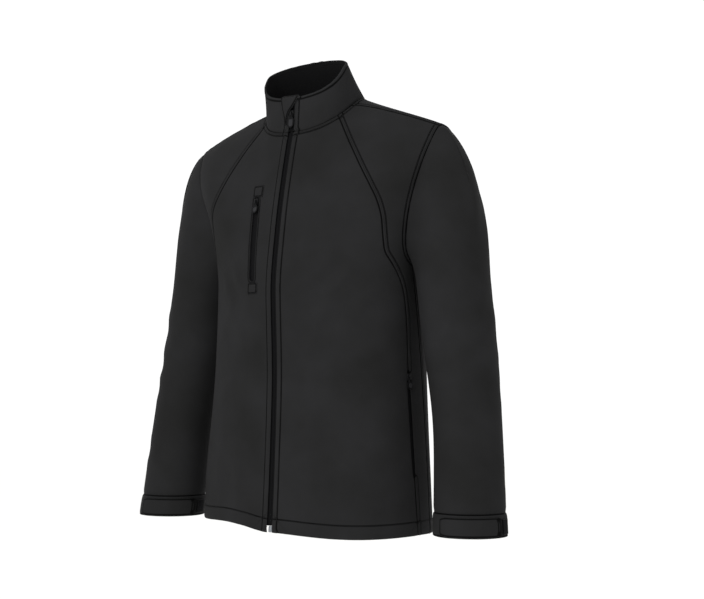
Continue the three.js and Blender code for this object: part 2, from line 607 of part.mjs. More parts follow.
// A stitched patch at one end of the chest window, lying on the panel
const PATCH = { half: 10.5, thick: 0.8 };
const PATCH_TOP = { x: 51, from: -141, to: -160 };
const PATCH_FOOT = { x: 44.5, from: -300, to: -318 };
function endPatch({ x, from, to }) {
  const levels = rowsBetween(from, to, 3);
  const grid = levels.map((z, j) => [-1, -0.86, 0, 0.86, 1].map((part) => {
    const place = placeAt(x + part * PATCH.half, z);
    const edge = Math.abs(part) === 1 || j === 0 || j === levels.length - 1;
    return {
      outer: lift(body, place, LAY_GAP + PATCH.thick * (edge ? 0.4 : 1)), inner: lift(body, place, LAY_GAP),
    };
  }));
  return gridWall(grid);
}

// Joins closed geometries into one body
function solid(geometry) {
  const bare = new THREE.BufferGeometry();
  bare.setAttribute('position', geometry.getAttribute('position').clone());
  if (geometry.index) bare.setIndex(geometry.index.clone());
  const merged = mergeVertices(bare, 1e-4);
  return new wasm.Manifold(new wasm.Mesh({
    numProp: 3,
    vertProperties: new Float32Array(merged.getAttribute('position').array),
    triVerts: new Uint32Array(merged.index.array),
  }));
}
function joined(...geometries) {
  const mesh = geometries.map(solid).reduce((whole, piece) => whole.add(piece)).getMesh();
  const geometry = new THREE.BufferGeometry();
  geometry.setAttribute('position', new THREE.BufferAttribute(mesh.vertProperties, 3));
  geometry.setIndex(new THREE.BufferAttribute(mesh.triVerts, 1));
  geometry.computeVertexNormals();
  return geometry;
}

const BAR_HEIGHT = (SLIDER.top + SLIDER.arch - 1) / 2 + 0.1; // the pull's bar above the cloth

// Slider: a plate that tapers to its foot, and a crown that arches over the pull's bar.
// X is across, Y up the zip and Z out of the cloth, with the origin at the bar.
function sliderGeometry() {
  const { wide, high, low, top, crown, arch, leg, bore } = SLIDER;
  const plate = new THREE.Shape();
  const [w, h] = [wide / 2, high / 2];
  plate.moveTo(-w * 0.72, -h);
  plate.lineTo(w * 0.72, -h);
  plate.lineTo(w, h * 0.2);
  plate.lineTo(w * 0.8, h);
  plate.lineTo(-w * 0.8, h);
  plate.lineTo(-w, h * 0.2);
  const base = new THREE.ExtrudeGeometry(plate, { depth: top - low, bevelEnabled: false });
  base.translate(0, 0, low);
  // the crown's side view, in Y and Z, with the hole that the bar hangs in
  const side = new THREE.Shape();
  side.moveTo(-leg, top - 0.4);
  side.lineTo(leg, top - 0.4);
  side.lineTo(leg, arch - 1.2);
  side.lineTo(leg - 1.2, arch);
  side.lineTo(-leg + 1.2, arch);
  side.lineTo(-leg, arch - 1.2);
  const hole = new THREE.Path();
  hole.absarc(0, BAR_HEIGHT, bore, 0, 2 * Math.PI, true);
  side.holes.push(hole);
  const bridge = new THREE.ExtrudeGeometry(side, { depth: crown, bevelEnabled: false, curveSegments: 5 });
  // turns the side view's X into Y and its Y into Z
  bridge.applyMatrix4(new THREE.Matrix4().makeBasis(
    new THREE.Vector3(0, 1, 0), new THREE.Vector3(0, 0, 1), new THREE.Vector3(1, 0, 0)));
  bridge.translate(-crown / 2, 0, 0);
  return joined(base, bridge);
}
// Pull: a moulded loop that hangs from the crown, with a thin web inside its frame
function pullGeometry({ wide, long }) {
  const { bar, thick, neck, slot, reach, web, frame } = PULL;
  const [w, n] = [wide / 2, neck / 2];
  const foot = bar / 2 - long;
  const outline = (grow) => {
    const shape = new THREE.Shape();
    shape.moveTo(-n + grow, bar / 2);
    shape.lineTo(-n + grow, -reach - 1);
    shape.lineTo(-w + grow, -reach - 5);
    shape.lineTo(-w + grow, foot + w);
    shape.absarc(0, foot + w, w - grow, Math.PI, 2 * Math.PI, false);
    shape.lineTo(w - grow, -reach - 5);
    shape.lineTo(n - grow, -reach - 1);
    shape.lineTo(n - grow, bar / 2);
    return shape;
  };
  const whole = outline(0);
  const slotHole = new THREE.Path();
  slotHole.moveTo(-slot / 2, -bar / 2);
  slotHole.lineTo(-slot / 2, -reach);
  slotHole.lineTo(slot / 2, -reach);
  slotHole.lineTo(slot / 2, -bar / 2);
  const window = new THREE.Path();
  const [iw, top] = [w - frame, -reach - 4.6];
  window.moveTo(-iw, top - 1.4);
  window.lineTo(-iw, foot + w);
  window.absarc(0, foot + w, iw, Math.PI, 2 * Math.PI, false);
  window.lineTo(iw, top - 1.4);
  window.lineTo(iw - 1.8, top);
  window.lineTo(-iw + 1.8, top);
  whole.holes.push(slotHole, window);
  const rim = new THREE.ExtrudeGeometry(whole, { depth: thick, bevelEnabled: false, curveSegments: 8 });
  rim.translate(0, 0, -thick / 2);
  const filling = new THREE.Shape(window.getPoints(8).map((point) => new THREE.Vector2(
    point.x * 1.06, (point.y - foot - w) * 1.03 + foot + w)));
  const plate = new THREE.ExtrudeGeometry(filling, { depth: web, bevelEnabled: false });
  plate.translate(0, 0, -web / 2);
  return joined(rim, plate);
}

// The metal box at the foot of the front zip
function zipBoxGeometry() {
  const { half, high, thick } = ZIP_BOX;
  const shape = new THREE.Shape();
  const cut = 1;
  shape.moveTo(-half, cut);
  shape.lineTo(-half + cut, 0);
  shape.lineTo(half - cut, 0);
  shape.lineTo(half, cut);
  shape.lineTo(half, high - cut);
  shape.lineTo(half - cut, high);
  shape.lineTo(-half + cut, high);
  shape.lineTo(-half, high - cut);
  const bevel = 0.5;
  return new THREE.ExtrudeGeometry(shape, {
    depth: thick - 2 * bevel, bevelEnabled: true, bevelSize: bevel, bevelOffset: -bevel,
    bevelThickness: bevel, bevelSegments: 1,
  });
}

// Materials
const softshell = new THREE.MeshStandardMaterial({ name: 'softshell', color: 0x26272a, roughness: 0.82 });
const tapeWeave = new THREE.MeshStandardMaterial({ name: 'zip tape', color: 0x17181a, roughness: 0.75 });
const moulded = new THREE.MeshStandardMaterial({ name: 'moulded pull', color: 0x101012, roughness: 0.45 });
const blackMetal = new THREE.MeshStandardMaterial({
  name: 'black metal', color: 0x1a1a1c, roughness: 0.35, metalness: 0.8,
});
const nickel = new THREE.MeshStandardMaterial({
  name: 'nickel', color: 0xb9bcc0, roughness: 0.3, metalness: 1,
});
const loopFelt = new THREE.MeshStandardMaterial({ name: 'loop felt', color: 0x0d0d0e, roughness: 0.95 });

const jacket = new THREE.Group();
function add(name, geometry, material, place = null) {
  const mesh = new THREE.Mesh(geometry, material);
  mesh.name = name;
  if (place) {
    mesh.position.copy(place.position);
    mesh.quaternion.copy(place.quaternion);
  }
  jacket.add(mesh);
}

// Where a slider or pull sits: X across, Y up along the line and Z out of the cloth
function seatOn(surface, place, up, out) {
  const { point, normal } = surfaceFrame(surface, place);
  const across = up.clone().cross(normal).normalize();
  const level = normal.clone().cross(across).normalize();
  const basis = new THREE.Matrix4().makeBasis(across, level, normal);
  return {
    position: point.addScaledVector(normal, out),
    quaternion: new THREE.Quaternion().setFromRotationMatrix(basis),
  };
}
const mirrorSeat = (seat) => {
  // the mirror image of a shape that is the same left and right: its X axis is mirrored twice
  const turned = new THREE.Matrix4().makeRotationFromQuaternion(seat.quaternion);
  const flip = new THREE.Matrix4().makeScale(-1, 1, 1);
  const basis = flip.clone().multiply(turned).multiply(flip);
  return {
    position: seat.position.clone().setX(-seat.position.x),
    quaternion: new THREE.Quaternion().setFromRotationMatrix(basis),
  };
};
// A slider's own foot is the tape, so it sits at the surface; the pull's bar is in its crown
function addZipHardware(name, surface, line, mirror, pull) {
  const up = surface(...line[0]).sub(surface(...line[1])).normalize();
  const turn = mirror ? mirrorSeat : (seat) => seat;
  add(`${name}_slider`, sliderGeometry(), blackMetal, turn(seatOn(surface, line[0], up, 0)));
  add(`${name}_pull`, pullGeometry(pull), moulded, turn(seatOn(surface, line[0], up, BAR_HEIGHT)));
}

// The hem hangs a little higher on the wearer's right front, between the zip and the side, and lower
// all round the left side. The right side stands out further towards the hem.
const HEM_LIFT = {
  right: { high: 10, wide: 74 }, left: { high: -17, wide: 180 }, from: -590, to: -690,
};
const HEM_SPREAD = { share: 0.048, from: 460, to: 620 };
function raised(geometry) {
  const position = geometry.getAttribute('position');
  for (let i = 0; i < position.count; i += 1) {
    const [x, y, z] = [position.getX(i), position.getY(i), position.getZ(i)];
    const { high, wide } = x > 0 ? HEM_LIFT.left : HEM_LIFT.right;
    const turn = Math.atan2(Math.abs(x), -y) * 180 / Math.PI;
    const down = THREE.MathUtils.clamp((z - HEM_LIFT.from) / (HEM_LIFT.to - HEM_LIFT.from), 0, 1);
    const across = Math.sin(Math.PI * THREE.MathUtils.clamp(turn / wide, 0, 1)) ** 2;
    const out = x < 0 ? HEM_SPREAD.share * THREE.MathUtils.smoothstep(-z, HEM_SPREAD.from, HEM_SPREAD.to) : 0;
    position.setXYZ(i, x * (1 + out), y, z + high * down * down * across);
  }
  geometry.computeVertexNormals();
  return geometry;
}

add('front_left', raised(frontPanel(false)), softshell);
add('front_right', raised(mirrored(frontPanel(true))), softshell);
const side = sidePanel();
add('side_right', raised(mirrored(side)), softshell);
add('side_left', raised(side), softshell);
add('back', raised(backPanel()), softshell);
const arm = sleeve();
add('sleeve_left', arm, softshell);
add('sleeve_right', mirrored(arm), softshell);
const band = cuff();
add('cuff_left', band, softshell);
add('cuff_right', mirrored(band), softshell);
// both tabs point to the wearer's left, so the right one starts on the outer side of its sleeve
const turned = (strip) => ({ ...strip, from: 180 - strip.to, to: 180 - strip.from });
add('cuff_tab_left', onCuff(CUFF_TAB), softshell);
add('cuff_tab_right', mirrored(onCuff(turned(CUFF_TAB))), softshell);
add('cuff_loop_left', onCuff(CUFF_LOOP), loopFelt);
add('cuff_loop_right', mirrored(onCuff(turned(CUFF_LOOP))), loopFelt);
add('collar', collarBand(), softshell);
add('chin_guard', chinGuard(), softshell);

const tape = frontTape();
add('zip_tape_left', tape, tapeWeave);
add('zip_tape_right', mirrored(tape), tapeWeave);
add('zip_coil', frontCoil(), tapeWeave);
const boxSeat = seatOn(body, [-90, 13.6], new THREE.Vector3(0, 0, 1), TAPE.top - 0.6);
boxSeat.position.z = ZIP_BOX.level;
add('zip_box', zipBoxGeometry(), nickel, boxSeat);
addZipHardware('front', collar, [[-90, -0.52], [-90, -0.45]], false, FRONT_PULL);

add('chest_zip', mirrored(pocketTape(chestLine, 10.5)), tapeWeave);
add('chest_end_top', mirrored(endPatch(PATCH_TOP)), softshell);
add('chest_end_foot', mirrored(endPatch(PATCH_FOOT)), softshell);
const chestSlider = [3.5, 3.7].map((row) => [angleAtX(body, windowX(row), row), row]);
addZipHardware('chest', body, chestSlider, true, POCKET_PULL);

for (const [side_, mirror] of [['left', false], ['right', true]]) {
  const turn = mirror ? mirrored : (geometry) => geometry;
  add(`side_zip_${side_}`, raised(turn(pocketTape(sideLine, 9))), tapeWeave);
  const line = [SIDE_WINDOW.top + 0.13, SIDE_WINDOW.top + 0.3]
    .map((row) => [between(PRINCESS_SEAM, 'angle', row), row]);
  addZipHardware(`side_${side_}`, body, line, mirror, POCKET_PULL);
}

export default jacket;
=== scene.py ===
# The softshell jacket's looks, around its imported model. Metres, +Z up, the front faces -Y and the
# wearer's left is +X.
import math

import bmesh
import bpy
import numpy as np
from mathutils import Matrix, Vector, noise
from mathutils.bvhtree import BVHTree
from mathutils.geometry import intersect_point_line
from mathutils.kdtree import KDTree


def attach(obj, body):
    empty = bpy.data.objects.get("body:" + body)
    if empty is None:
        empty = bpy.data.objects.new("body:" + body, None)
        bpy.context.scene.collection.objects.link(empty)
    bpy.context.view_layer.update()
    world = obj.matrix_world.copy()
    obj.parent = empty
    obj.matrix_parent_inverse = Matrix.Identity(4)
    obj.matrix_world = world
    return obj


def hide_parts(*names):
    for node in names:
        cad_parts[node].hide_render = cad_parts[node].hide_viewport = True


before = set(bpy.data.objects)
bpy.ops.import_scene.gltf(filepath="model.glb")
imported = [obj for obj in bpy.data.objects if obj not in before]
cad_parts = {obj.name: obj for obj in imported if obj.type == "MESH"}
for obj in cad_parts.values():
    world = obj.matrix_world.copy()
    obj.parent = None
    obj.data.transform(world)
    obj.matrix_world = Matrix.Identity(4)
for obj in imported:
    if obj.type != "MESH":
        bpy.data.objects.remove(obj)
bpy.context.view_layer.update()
MM = 0.001

# Camera: the jacket is seen from the front, turned 35 degrees towards the wearer's left side, from
# a little below chest height, as in a catalogue picture taken with a short telephoto lens.
CAMERA_AZIMUTH = math.radians(35)
CAMERA_PITCH = math.radians(3.29)
CAMERA_DISTANCE = 2.3
CAMERA_ASIDE = 0.0559
CAMERA_HEIGHT = -0.455
CAMERA_LENS = 71.6
CAMERA_SENSOR = 36


def add_camera():
    toward = Vector((math.sin(CAMERA_AZIMUTH), -math.cos(CAMERA_AZIMUTH), 0))
    right = Vector((math.cos(CAMERA_AZIMUTH), math.sin(CAMERA_AZIMUTH), 0))
    lens = bpy.data.cameras.new("camera")
    lens.lens = CAMERA_LENS
    lens.sensor_width = CAMERA_SENSOR
    holder = bpy.data.objects.new("camera", lens)
    bpy.context.scene.collection.objects.link(holder)
    holder.location = toward * CAMERA_DISTANCE + right * CAMERA_ASIDE + Vector((0, 0, CAMERA_HEIGHT))
    look = -toward * math.cos(CAMERA_PITCH) + Vector((0, 0, math.sin(CAMERA_PITCH)))
    holder.rotation_euler = look.to_track_quat("-Z", "Y").to_euler()
    bpy.context.scene.camera = holder


add_camera()

# Studio: a plain pale floor at the height where a wearer would stand, a white room, one broad soft
# light from the front, a weaker one from the viewer's right and a faint one from above.
FLOOR_LEVEL = -1.45
FLOOR_RADIUS = 14
FLOOR_WHITE = "#fbfbf9"
ROOM_STRENGTH = 1.06
LIGHTS_AIM = -0.3  # the height that the lights point at
# name, azimuth and elevation in degrees, distance and size in metres, power in watts
SOFT_LIGHTS = [
    ("key_light", 4, 20, 3.2, 2.2, 66),
    ("fill_light", 60, 12, 3.4, 1.8, 4),
    ("top_light", 20, 80, 2.6, 1.4, 5),
]


def linear(code):
    """An sRGB hex colour as linear red, green, blue and alpha."""
    parts = [int(code[i:i + 2], 16) / 255 for i in (1, 3, 5)]
    return [p / 12.92 if p <= 0.04045 else ((p + 0.055) / 1.055) ** 2.4 for p in parts] + [1]


def add_node(tree, kind, values=None, links=None, **settings):
    """A node with its settings, its inputs' values and what is linked into its inputs."""
    node = tree.nodes.new(kind)
    for key, value in settings.items():
        setattr(node, key, value)
    for key, value in (values or {}).items():
        node.inputs[key].default_value = value
    for key, source in (links or {}).items():
        tree.links.new(source, node.inputs[key])
    return node


def new_material(name):
    """An empty material and its node tree."""
    material = bpy.data.materials.new(name)
    material.use_nodes = True
    material.node_tree.nodes.clear()
    return material, material.node_tree


def close_material(tree, shader):
    add_node(tree, "ShaderNodeOutputMaterial", links={"Surface": shader.outputs[0]})


def build_studio():
    paint, tree = new_material("matt_floor_paint")
    close_material(tree, add_node(tree, "ShaderNodeBsdfPrincipled", {
        "Base Color": linear(FLOOR_WHITE), "Roughness": 0.9, "Specular IOR Level": 0.1}))
    bm = bmesh.new()
    bmesh.ops.create_circle(bm, cap_ends=True, segments=96, radius=FLOOR_RADIUS,
                            matrix=Matrix.Translation((0, 0, FLOOR_LEVEL)))
    mesh = bpy.data.meshes.new("floor")
    bm.to_mesh(mesh)
    bm.free()
    mesh.materials.append(paint)
    floor = bpy.data.objects.new("floor", mesh)
    bpy.context.scene.collection.objects.link(floor)
    for name, azimuth, elevation, distance, size, power in SOFT_LIGHTS:
        lamp = bpy.data.lights.new(name, "AREA")
        lamp.size = size
        lamp.energy = power
        holder = bpy.data.objects.new(name, lamp)
        bpy.context.scene.collection.objects.link(holder)
        a, e = math.radians(azimuth), math.radians(elevation)
        away = Vector((math.sin(a) * math.cos(e), -math.cos(a) * math.cos(e), math.sin(e)))
        holder.location = away * distance + Vector((0, 0, LIGHTS_AIM))
        holder.rotation_euler = (-away).to_track_quat("-Z", "Y").to_euler()
    room = bpy.data.worlds.new("white_room")
    room.use_nodes = True
    room.node_tree.nodes["Background"].inputs["Color"].default_value = (1, 1, 1, 1)
    room.node_tree.nodes["Background"].inputs["Strength"].default_value = ROOM_STRENGTH
    bpy.context.scene.world = room
    bpy.context.scene.view_settings.view_transform = "Standard"


build_studio()

# The cloth: a bonded softshell, a close plain woven polyester face on a thin fleece back, charcoal
# black. Panels are cut single and sewn edge to edge, with the seam turned in and stitched down
# beside it, so each is a thin sheet that follows its solid's outer face.
CLOTH_THICK = 1.8 * MM
SHARP_RIM = math.radians(62)
CLOTH_SMOOTH = math.radians(50)
EDGE_ROUND = 0.5 * MM
FACE_COLOUR = "#191919"
FACE_WORN = "#202021"
BACK_COLOUR = "#141415"
BACK_DEEP = "#0c0c0c"
THREAD_PITCH = 1.1 * MM  # the real weave has 0.35 mm threads, drawn coarser so that it shows
GRAIN_SIZE = 0.9 * MM
STITCH_CORE = 0.5  # half widths in mm of the painted shade line along each row of stitches and each seam's edge, where the stitches also pull the cloth in: its floor
STITCH_GROOVE = 1.8  # and its brim


def node_mesh(node):
    """A copy of a node's mesh in a new bmesh, merged into one skin."""
    bm = bmesh.new()
    bm.from_mesh(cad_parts[node].data)
    bm.transform(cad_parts[node].matrix_world)
    bmesh.ops.remove_doubles(bm, verts=bm.verts, dist=0.001 * MM)
    return bm


def outer_face(node, sharp=SHARP_RIM):
    """The outer face of a cloth wall, as a sheet of quads in a new bmesh."""
    bm = node_mesh(node)
    unseen = set(bm.faces)
    largest, most = set(), 0
    while unseen:
        first = unseen.pop()
        stretch, front = {first}, [first]
        while front:
            for edge in front.pop().edges:
                if len(edge.link_faces) == 2 and edge.calc_face_angle(math.pi) < sharp:
                    for face in edge.link_faces:
                        if face in unseen:
                            unseen.remove(face)
                            stretch.add(face)
                            front.append(face)
        area = sum(face.calc_area() for face in stretch)
        if area > most:
            largest, most = stretch, area
    bmesh.ops.delete(bm, geom=[face for face in bm.faces if face not in largest], context="FACES")
    bmesh.ops.join_triangles(bm, faces=bm.faces, cmp_seam=False, cmp_sharp=False,
                             angle_face_threshold=math.pi, angle_shape_threshold=math.pi)
    return bm


def new_object(name, bm, *materials):
    mesh = bpy.data.meshes.new(name + "_look")
    bm.to_mesh(mesh)
    bm.free()
    for material in materials:
        mesh.materials.append(material)
    made = bpy.data.objects.new(name + "_look", mesh)
    bpy.context.scene.collection.objects.link(made)
    return made


def apply_modifiers(piece):
    """Makes the piece's mesh what its modifiers show, and removes them."""
    held = piece.evaluated_get(bpy.context.evaluated_depsgraph_get())
    mesh = bpy.data.meshes.new_from_object(held)
    piece.modifiers.clear()
    old, piece.data = piece.data, mesh
    bpy.data.meshes.remove(old)


def soften(piece, levels):
    """Rounds the sheet's facets, and keeps its corners."""
    smooth = piece.modifiers.new("round", "SUBSURF")
    smooth.levels = smooth.render_levels = levels
    smooth.boundary_smooth = "PRESERVE_CORNERS"
    apply_modifiers(piece)


def thicken(piece, thick, bevel):
    """Gives the sheet its thickness inwards, with a rounded cut or turned edge."""
    wall = piece.modifiers.new("wall", "SOLIDIFY")
    wall.thickness = thick
    wall.offset = -1
    wall.material_offset = 1
    edge = piece.modifiers.new("edge", "BEVEL")
    edge.limit_method = "ANGLE"
    edge.angle_limit = SHARP_RIM
    edge.width = bevel
    edge.segments = 2
    apply_modifiers(piece)
    piece.data.shade_smooth()
    piece.data.set_sharp_from_angle(angle=CLOTH_SMOOTH)


def points_of(piece):
    flat = np.empty(len(piece.data.vertices) * 3, np.float32)
    piece.data.vertices.foreach_get("co", flat)
    return flat.reshape(-1, 3).astype(float)


def normals_of(piece):
    flat = np.empty(len(piece.data.vertices) * 3, np.float32)
    piece.data.vertex_normals.foreach_get("vector", flat)
    return flat.reshape(-1, 3).astype(float)


def softshell_face():
    """Close matt weave: little gloss, a faint bloom at grazing angles, slow tonal drift, and painted shade
    darkening the rows of stitches and the seams' edges.
    """
    material, tree = new_material("woven_softshell_face")
    place = add_node(tree, "ShaderNodeTexCoord")
    drift = add_node(tree, "ShaderNodeTexNoise", {"Scale": 9, "Detail": 3, "Roughness": 0.55},
                     {"Vector": place.outputs["Object"]})
    grain = add_node(tree, "ShaderNodeTexNoise", {"Scale": 1 / GRAIN_SIZE, "Detail": 2},
                     {"Vector": place.outputs["Object"]})
    mixed = add_node(tree, "ShaderNodeMix", {"Factor": 0.25},
                     {"A": drift.outputs["Fac"], "B": grain.outputs["Fac"]})
    tone = add_node(tree, "ShaderNodeValToRGB", links={"Fac": mixed.outputs["Result"]})
    tone.color_ramp.elements[0].position = 0.36
    tone.color_ramp.elements[1].position = 0.66
    tone.color_ramp.elements[0].color = linear(FACE_COLOUR)
    tone.color_ramp.elements[1].color = linear(FACE_WORN)
    # the rows of stitches pull a narrow line into the face as a bump, and painted shade darkens the same
    # line
    rows = add_node(tree, "ShaderNodeAttribute", attribute_name="stitch_mm")
    near = add_node(tree, "ShaderNodeMath", operation="ABSOLUTE", links={0: rows.outputs["Fac"]})
    groove = add_node(tree, "ShaderNodeMapRange",
                      {"From Min": STITCH_CORE, "From Max": STITCH_GROOVE, "To Min": 0, "To Max": 1},
                      {"Value": near.outputs[0]}, interpolation_type="SMOOTHSTEP")
    # painted shade: the colour falls to a tenth along the stitch rows and seam edges, standing in for the
    # shadow in their grooves
    painted_stitch_shade = add_node(tree, "ShaderNodeMapRange", {"To Min": 0.1, "To Max": 1},
                     {"Value": groove.outputs["Result"]})
    colour = add_node(tree, "ShaderNodeVectorMath", operation="MULTIPLY",
                      links={0: tone.outputs["Color"], 1: painted_stitch_shade.outputs["Result"]})
    # warp and weft from the sheet's own thread counts
    thread = add_node(tree, "ShaderNodeUVMap", uv_map="threads")
    counts = add_node(tree, "ShaderNodeSeparateXYZ", links={0: thread.outputs["UV"]})
    waves = []
    for axis in ("X", "Y"):
        turn = add_node(tree, "ShaderNodeMath", {1: math.pi}, {0: counts.outputs[axis]},
                        operation="MULTIPLY")
        waves.append(add_node(tree, "ShaderNodeMath", links={0: turn.outputs[0]}, operation="SINE"))
    weave = add_node(tree, "ShaderNodeMath", links={0: waves[0].outputs[0], 1: waves[1].outputs[0]},
                     operation="MULTIPLY")
    fine = add_node(tree, "ShaderNodeBump", {"Strength": 0.35, "Distance": 0.08 * MM},
                    {"Height": weave.outputs[0]})
    rough = add_node(tree, "ShaderNodeBump", {"Strength": 0.3, "Distance": 0.15 * MM},
                     {"Height": grain.outputs["Fac"], "Normal": fine.outputs["Normal"]})
    pulled = add_node(tree, "ShaderNodeBump", {"Strength": 0.8, "Distance": 0.5 * MM},
                      {"Height": groove.outputs["Result"], "Normal": rough.outputs["Normal"]})
    gloss = add_node(tree, "ShaderNodeMapRange", {"To Min": 0.7, "To Max": 0.84},
                     {"Value": mixed.outputs["Result"]})
    close_material(tree, add_node(tree, "ShaderNodeBsdfPrincipled", {
        "Specular IOR Level": 0.035, "Sheen Weight": 0.005, "Sheen Roughness": 0.5}, {
        "Base Color": colour.outputs["Vector"], "Roughness": gloss.outputs["Result"],
        "Normal": pulled.outputs["Normal"]}))
    return material


def fleece_back():
    """Short napped fleece: no gloss, a soft bloom, small clumps."""
    material, tree = new_material("napped_fleece_back")
    place = add_node(tree, "ShaderNodeTexCoord")
    nap = add_node(tree, "ShaderNodeTexNoise", {"Scale": 1 / (1.6 * MM), "Detail": 4},
                   {"Vector": place.outputs["Object"]})
    tone = add_node(tree, "ShaderNodeValToRGB", links={"Fac": nap.outputs["Fac"]})
    tone.color_ramp.elements[0].color = linear(BACK_DEEP)
    tone.color_ramp.elements[1].color = linear(BACK_COLOUR)
    bump = add_node(tree, "ShaderNodeBump", {"Strength": 0.7, "Distance": 0.5 * MM},
                    {"Height": nap.outputs["Fac"]})
    close_material(tree, add_node(tree, "ShaderNodeBsdfPrincipled", {
        "Roughness": 0.95, "Specular IOR Level": 0.02, "Sheen Weight": 0.01, "Sheen Roughness": 0.6},
        {"Base Color": tone.outputs["Color"], "Normal": bump.outputs["Normal"]}))
    return material


SOFTSHELL = softshell_face()
FLEECE = fleece_back()


WEFT_DOWN = 0.8  # how much the weft's count grows with the way down
WEFT_OUT = 0.6  # and with the way out from the centre line


def count_threads(piece, centre):
    """Writes the cloth's thread counts round a centre line and down it as the sheet's UV map.
    centre gives the line's x and y at a height."""
    points = points_of(piece)
    cx, cy = centre(points[:, 2])
    x, y = points[:, 0] - cx, points[:, 1] - cy
    radius = np.hypot(x, y)
    whole = 2 * round(math.pi * float(np.median(radius)) / THREAD_PITCH)
    turn = np.arctan2(x, y) / (2 * math.pi) * whole
    length = (WEFT_OUT * radius - WEFT_DOWN * points[:, 2]) / THREAD_PITCH
    mesh = piece.data
    corners = np.empty(len(mesh.loops), np.int32)
    mesh.loops.foreach_get("vertex_index", corners)
    starts = np.empty(len(mesh.polygons), np.int32)
    sizes = np.empty(len(mesh.polygons), np.int32)
    mesh.polygons.foreach_get("loop_start", starts)
    mesh.polygons.foreach_get("loop_total", sizes)
    u = turn[corners]
    highest = np.maximum.reduceat(u, starts)
    u = np.where(np.repeat(highest, sizes) - u > whole / 2, u + whole, u)
    layer = mesh.uv_layers.new(name="threads")
    layer.data.foreach_set("uv", np.stack([u, length[corners]], 1).astype(np.float32).ravel())


# Creases: the jacket hangs almost smooth. Soft troughs run from the underarms and the elbows and a
# few shallow ones lie across the waist, so they are pressed into every sheet that they cross.
# seen from a side: across and height in mm of both ends, half width, depth and sideways bow in mm
CREASES = [
    ("front", (118, -262), (66, -318), 11, 2.6, 6),
    ("front", (150, -300), (96, -392), 14, 2.2, -8),
    ("front", (172, -378), (60, -412), 17, 2.4, 9),
    ("front", (60, -452), (148, -486), 20, 1.8, -7),
    ("front", (108, -560), (92, -668), 17, 2.4, 5),
    ("front", (44, -520), (52, -660), 15, 1.4, -4),
    ("front", (-112, -268), (-74, -330), 11, 2.2, -6),
    ("front", (-150, -332), (-84, -420), 15, 2.0, 8),
    ("front", (-66, -470), (-140, -512), 19, 1.6, 6),
    ("front", (-104, -560), (-92, -668), 16, 2.2, -5),
    ("back", (-122, -236), (-60, -300), 15, 3.0, 8),
    ("back", (122, -236), (64, -306), 15, 3.0, -8),
    ("back", (-150, -380), (-30, -418), 20, 3.0, -8),
    ("back", (146, -402), (40, -436), 20, 2.6, 8),
    ("back", (-70, -540), (-84, -676), 20, 3.0, 5),
    ("back", (62, -560), (74, -676), 19, 2.8, -5),
    ("back", (-8, -96), (6, -250), 24, 1.8, 4),
    ("left", (30, -330), (-40, -372), 13, 2.6, 7),
    ("left", (34, -392), (-44, -424), 14, 3.0, -6),
    ("left", (24, -470), (-50, -452), 13, 2.2, 6),
    ("left", (-52, -560), (4, -604), 12, 2.0, -5),
    ("left", (26, -150), (-6, -262), 14, 1.8, 6),
    ("right", (28, -340), (-42, -380), 13, 2.6, -7),
    ("right", (30, -406), (-48, -430), 14, 2.8, 6),
    ("right", (22, -482), (-46, -470), 13, 2.0, -5),
    ("right", (-54, -572), (0, -610), 12, 2.0, 5),
    ("right", (24, -160), (-8, -270), 14, 1.8, -6),
    ("sleeve_front", (262, -352), (232, -392), 12, 2.2, 5),
    ("sleeve_front", (-262, -362), (-232, -400), 12, 2.2, -5),
    ("sleeve_back", (296, -398), (246, -372), 13, 3.2, 6),
    ("sleeve_back", (-296, -404), (-246, -380), 13, 3.2, -6),
    ("sleeve_back", (290, -452), (256, -428), 12, 2.6, 5),
    ("sleeve_back", (-290, -456), (-256, -436), 12, 2.6, -5),
]
# for each side: the ray's direction, and the axis of the first number
SIDES = {
    "front": (Vector((0, 1, 0)), 0), "back": (Vector((0, -1, 0)), 0),
    "left": (Vector((-1, 0, 0)), 1), "right": (Vector((1, 0, 0)), 1),
    "sleeve_front": (Vector((0, 1, 0)), 0), "sleeve_back": (Vector((0, -1, 0)), 0),
}
CREASE_STEPS = 26
CREASE_END = 0.03  # the share of a crease's length from which it fades out
CREASE_FULL = 0.7  # the lower, the longer a crease stays deep
CREASE_REACH = 3.2  # these three in half widths: how far a crease reaches,
RIDGE_AT = 1.7  # where the ridge beside it lies
RIDGE_HALF = 0.62  # and how wide that is
RIDGE_HIGH = 0.42  # its height as a share of the crease's depth


def crease_lines(sheets):
    """Lays every crease's line on the outermost cloth seen from its side."""
    bm = bmesh.new()
    for sheet in sheets:
        bm.from_mesh(sheet.data)
    tree = BVHTree.FromBMesh(bm)
    bm.free()
    lines = []
    for side, start, end, half, deep, bow in CREASES:
        ray, axis = SIDES[side]
        a, b = Vector(start), Vector(end)
        across = Vector((-(b - a).y, (b - a).x)).normalized()
        line = []
        for i in range(CREASE_STEPS + 1):
            t = i / CREASE_STEPS
            p = a.lerp(b, t) + across * bow * math.sin(math.pi * t)
            origin = Vector((0, 0, p.y * MM)) - ray
            origin[axis] = p.x * MM
            hit = tree.ray_cast(origin, ray)[0]
            if hit is not None:
                inner = min(max(t, CREASE_END), 1 - CREASE_END)
                line.append((*hit, math.sin(math.pi * inner) ** CREASE_FULL))
        lines.append((np.array(line), half * MM, deep * MM))
    return lines


